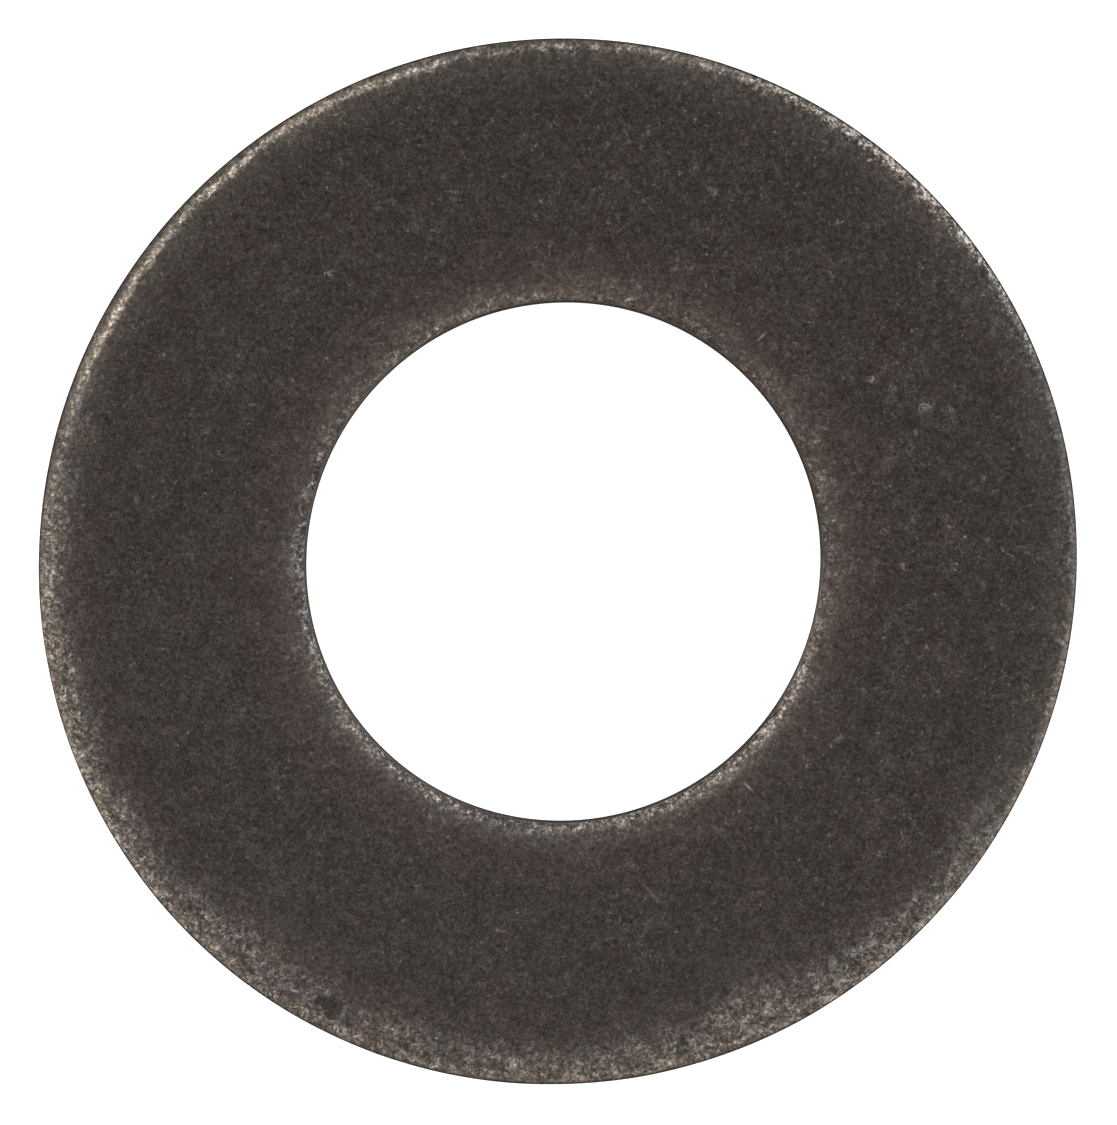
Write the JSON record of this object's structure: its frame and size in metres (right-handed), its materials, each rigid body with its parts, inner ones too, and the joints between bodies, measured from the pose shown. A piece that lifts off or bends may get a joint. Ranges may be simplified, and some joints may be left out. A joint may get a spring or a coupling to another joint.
{
  "type": "flat washer",
  "caption": "Plain round flat washer of dark finished steel, punched from strip, with an open round hole and softly rounded upper edges.",
  "frame": {"origin": "centre of the outside diameter on the bearing face, which is the face with the sharper edges", "axes": "+Z along the washer's axis, towards the face with the rounded edges; +X towards the side that the hole is 0.15 mm off centre"},
  "size_m": [0.027, 0.027, 0.0024],
  "materials": {
    "dark_steel": "dark oxide finish, matt, with worn bright edges"
  },
  "bodies": {
    "root": {"washer": "dark_steel"}
  },
  "joints": []
}
